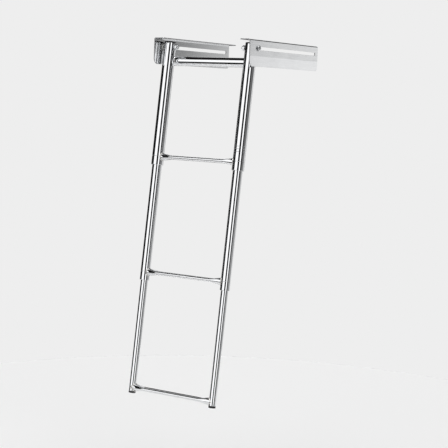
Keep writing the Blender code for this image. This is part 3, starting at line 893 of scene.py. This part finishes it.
def build_ladder():
    for label, side in SIDES:
        bracket(label, side)
        pivot_hardware(label, side)
        upper_section(label, side)
        middle_section(label, side)
        lower_section(label, side)
        dress_hidden_nylon(label)
    crossbar("crossbar", radius_of("right_outer_tube"))
    pressed_rung("upper_rung", radius_of("right_outer_tube"))
    pressed_rung("middle_rung", radius_of("right_middle_tube"))
    pressed_rung("lower_rung", radius_of("right_inner_tube"))


# ---------------------------------------------------------------- studio

BACKDROP = (0.855, 0.855, 0.855)
FLOOR_DROP = 0.3                    # of the floor below the ladder's feet
FLOOR_RADIUS = 1.6
FLOOR_COLOUR = (0.91, 0.91, 0.91)

# Soft boxes round the ladder: middle and half width in azimuth, lowest and highest elevation,
# softness of the edge, all in degrees, and brightness.  Azimuth 0 is +X and 90 is +Y.
# The steel mirrors them, so their edges are the bright and dark lines along the tubes.
SOFT_BOXES = (
    (-105.5, 26.5, -4, 60, 1.5, 1.6),   # large, front left
    (-34.5, 11.5, -35, 60, 1.5, 1.7),   # strip, front right
    (30, 30, -35, 0, 2.0, 0.42),        # grey flat, low right
    (30, 30, 0, 38, 2.0, 0.2),          # grey flat, right
    (74.5, 15, -35, 15, 3.0, 1.2),      # white flat, behind right
    (120, 28, 4, 34, 3.0, 1.0),         # white flat, behind
    (162, 70, -35, -7, 3.0, 0.5),       # grey flat, low behind left
    (0, 181, 64, 91, 2.0, 4.4),         # overhead
)
GLOOM = 0.015                       # brightness between the boxes


def studio_light():
    """The soft boxes on the world, which the camera itself sees as a plain backdrop."""
    world = bpy.data.worlds.new("studio")
    bpy.context.scene.world = world
    world.use_nodes = True
    tree = world.node_tree
    tree.nodes.clear()

    def node(kind, inputs, **settings):
        made = tree.nodes.new(kind)
        for key, value in settings.items():
            setattr(made, key, value)
        for key, value in inputs.items():
            if isinstance(value, bpy.types.NodeSocket):
                tree.links.new(value, made.inputs[key])
            else:
                made.inputs[key].default_value = value
        return made

    def maths(operation, first, second=0.0):
        return node("ShaderNodeMath", {0: first, 1: second}, operation=operation).outputs[0]

    def step_at(value, edge, softness, rising):
        spread = {"Value": value, "From Min": edge - softness, "From Max": edge + softness,
                  "To Min": 0.0 if rising else 1.0, "To Max": 1.0 if rising else 0.0}
        return node("ShaderNodeMapRange", spread, interpolation_type="SMOOTHSTEP").outputs[0]

    direction = tree.nodes.new("ShaderNodeTexCoord").outputs["Generated"]
    parts = node("ShaderNodeSeparateXYZ", {"Vector": direction}).outputs
    elevation = maths("ARCSINE", parts["Z"])
    total = GLOOM
    for azimuth, half, low, high, softness, brightness in SOFT_BOXES:
        turned = node("ShaderNodeVectorRotate", {"Vector": direction, "Angle": -math.radians(azimuth)},
                      rotation_type="Z_AXIS").outputs[0]
        aside = node("ShaderNodeSeparateXYZ", {"Vector": turned}).outputs
        off_middle = maths("ABSOLUTE", maths("ARCTAN2", aside["Y"], aside["X"]))
        soft = math.radians(softness)
        mask = step_at(off_middle, math.radians(half), soft, False)
        mask = maths("MULTIPLY", mask, step_at(elevation, math.radians(low), soft, True))
        mask = maths("MULTIPLY", mask, step_at(elevation, math.radians(high), soft, False))
        total = maths("ADD", total, maths("MULTIPLY", mask, brightness))

    lit = node("ShaderNodeBackground", {"Strength": total})
    plain = node("ShaderNodeBackground", {"Color": (*BACKDROP, 1)})
    seen = tree.nodes.new("ShaderNodeLightPath").outputs["Is Camera Ray"]
    mixed = node("ShaderNodeMixShader", {"Fac": seen, 1: lit.outputs[0], 2: plain.outputs[0]})
    output = tree.nodes.new("ShaderNodeOutputWorld")
    tree.links.new(mixed.outputs[0], output.inputs["Surface"])


def studio_floor():
    mesh = bpy.data.meshes.new("floor")
    height = cad_low.z - FLOOR_DROP
    rim = [(x, y, height) for x, y in arc((0, 0), FLOOR_RADIUS, 0, 355, 71)]
    mesh.from_pydata(rim, [], [tuple(range(len(rim)))])
    floor = bpy.data.objects.new("floor", mesh)
    bpy.context.scene.collection.objects.link(floor)
    paint = Finish("floor_paint", FLOOR_COLOUR)
    paint.shader.inputs["Roughness"].default_value = 1.0
    paint.shader.inputs["Specular IOR Level"].default_value = 0.0
    mesh.materials.append(paint.material)


# The camera stands in front of the ladder and to its right, a little below the pivots
CAMERA_FROM_PIVOT = Vector((1.6132, -2.6955, -0.1123))
CAMERA_AZIMUTH = math.radians(29.9)
CAMERA_ELEVATION = math.radians(6.47)
CAMERA_ROLL = math.radians(2.1)
CAMERA_LENS = 94.3


def studio_camera():
    data = bpy.data.cameras.new("camera")
    data.lens = CAMERA_LENS
    data.clip_end = 100
    camera = bpy.data.objects.new("camera", data)
    bpy.context.scene.collection.objects.link(camera)
    turn = Matrix.Rotation(CAMERA_AZIMUTH, 4, "Z")
    nod = Matrix.Rotation(math.pi / 2 - CAMERA_ELEVATION, 4, "X")
    lean = Matrix.Rotation(CAMERA_ROLL, 4, "Z")
    camera.matrix_world = Matrix.Translation(PIVOT + CAMERA_FROM_PIVOT) @ turn @ nod @ lean
    bpy.context.scene.camera = camera


studio_camera()
studio_floor()
studio_light()
bpy.context.scene.view_settings.view_transform = "Standard"
build_ladder()
